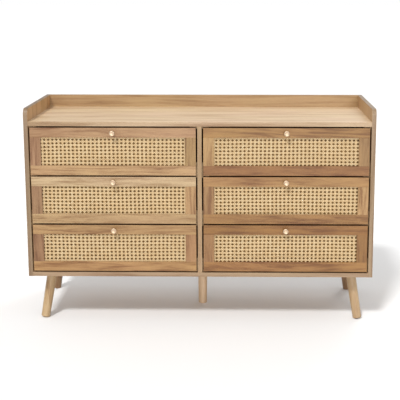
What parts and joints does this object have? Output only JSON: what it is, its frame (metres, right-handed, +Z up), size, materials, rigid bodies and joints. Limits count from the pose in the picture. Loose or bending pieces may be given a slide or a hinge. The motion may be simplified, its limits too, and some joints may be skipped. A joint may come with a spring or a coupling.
{
  "type": "dresser with drawers",
  "caption": "Wide low dresser with two columns of inset drawers, cane-filled wooden frame fronts, brass knobs, a raised gallery round the top and splayed turned legs.",
  "frame": {"origin": "bottom centre of the object's box, knobs included, on the surface it stands on", "axes": "+Z up, +X along the width to the right seen from the front, the drawers open towards -Y"},
  "size_m": [1.2, 0.42, 0.76],
  "materials": {
    "carcass_wood": "oak-look board, matt lacquer",
    "front_wood": "oak-look frame, matt lacquer",
    "leg_wood": "turned wood, matt lacquer",
    "cane": "natural woven cane",
    "knob_brass": "brushed",
    "box_wood": "plain sanded board",
    "box_bottom_board": "thin fibreboard",
    "back_board": "thin fibreboard",
    "runner_wood": "waxed hardwood",
    "screw_steel": "zinc plated",
    "plate_steel": "black powder coat"
  },
  "bodies": {
    "carcass": {"side_panel_left": "carcass_wood", "side_panel_right": "carcass_wood", "top_panel": "carcass_wood", "bottom_panel": "carcass_wood", "centre_divider": "carcass_wood", "back_gallery_rail": "carcass_wood", "back_panels": "back_board", "runner_battens": "runner_wood", "guide_strips": "runner_wood", "runner_screws": "screw_steel", "carcass_dowels": "runner_wood", "leg_front_left": "leg_wood", "leg_front_right": "leg_wood", "leg_back_left": "leg_wood", "leg_back_right": "leg_wood", "leg_centre": "leg_wood", "leg_plates": "plate_steel", "leg_plate_screws": "screw_steel"},
    "upper_left_drawer": {"upper_left_front_frame": "front_wood", "upper_left_cane_panel": "cane", "upper_left_knob": "knob_brass", "upper_left_box_front": "box_wood", "upper_left_box_sides": "box_wood", "upper_left_box_back": "box_wood", "upper_left_box_bottom": "box_bottom_board"},
    "upper_right_drawer": {"upper_right_front_frame": "front_wood", "upper_right_cane_panel": "cane", "upper_right_knob": "knob_brass", "upper_right_box_front": "box_wood", "upper_right_box_sides": "box_wood", "upper_right_box_back": "box_wood", "upper_right_box_bottom": "box_bottom_board"},
    "middle_left_drawer": {"middle_left_front_frame": "front_wood", "middle_left_cane_panel": "cane", "middle_left_knob": "knob_brass", "middle_left_box_front": "box_wood", "middle_left_box_sides": "box_wood", "middle_left_box_back": "box_wood", "middle_left_box_bottom": "box_bottom_board"},
    "middle_right_drawer": {"middle_right_front_frame": "front_wood", "middle_right_cane_panel": "cane", "middle_right_knob": "knob_brass", "middle_right_box_front": "box_wood", "middle_right_box_sides": "box_wood", "middle_right_box_back": "box_wood", "middle_right_box_bottom": "box_bottom_board"},
    "lower_left_drawer": {"lower_left_front_frame": "front_wood", "lower_left_cane_panel": "cane", "lower_left_knob": "knob_brass", "lower_left_box_front": "box_wood", "lower_left_box_sides": "box_wood", "lower_left_box_back": "box_wood", "lower_left_box_bottom": "box_bottom_board"},
    "lower_right_drawer": {"lower_right_front_frame": "front_wood", "lower_right_cane_panel": "cane", "lower_right_knob": "knob_brass", "lower_right_box_front": "box_wood", "lower_right_box_sides": "box_wood", "lower_right_box_back": "box_wood", "lower_right_box_bottom": "box_bottom_board"}
  },
  "joints": [
    {"name": "upper_left_drawer_slide", "type": "slide", "parent": "carcass", "child": "upper_left_drawer", "axis": [0, -1, 0], "range_m": [0, 0.25]},
    {"name": "upper_right_drawer_slide", "type": "slide", "parent": "carcass", "child": "upper_right_drawer", "axis": [0, -1, 0], "range_m": [0, 0.25]},
    {"name": "middle_left_drawer_slide", "type": "slide", "parent": "carcass", "child": "middle_left_drawer", "axis": [0, -1, 0], "range_m": [0, 0.25]},
    {"name": "middle_right_drawer_slide", "type": "slide", "parent": "carcass", "child": "middle_right_drawer", "axis": [0, -1, 0], "range_m": [0, 0.25]},
    {"name": "lower_left_drawer_slide", "type": "slide", "parent": "carcass", "child": "lower_left_drawer", "axis": [0, -1, 0], "range_m": [0, 0.25]},
    {"name": "lower_right_drawer_slide", "type": "slide", "parent": "carcass", "child": "lower_right_drawer", "axis": [0, -1, 0], "range_m": [0, 0.25]}
  ]
}
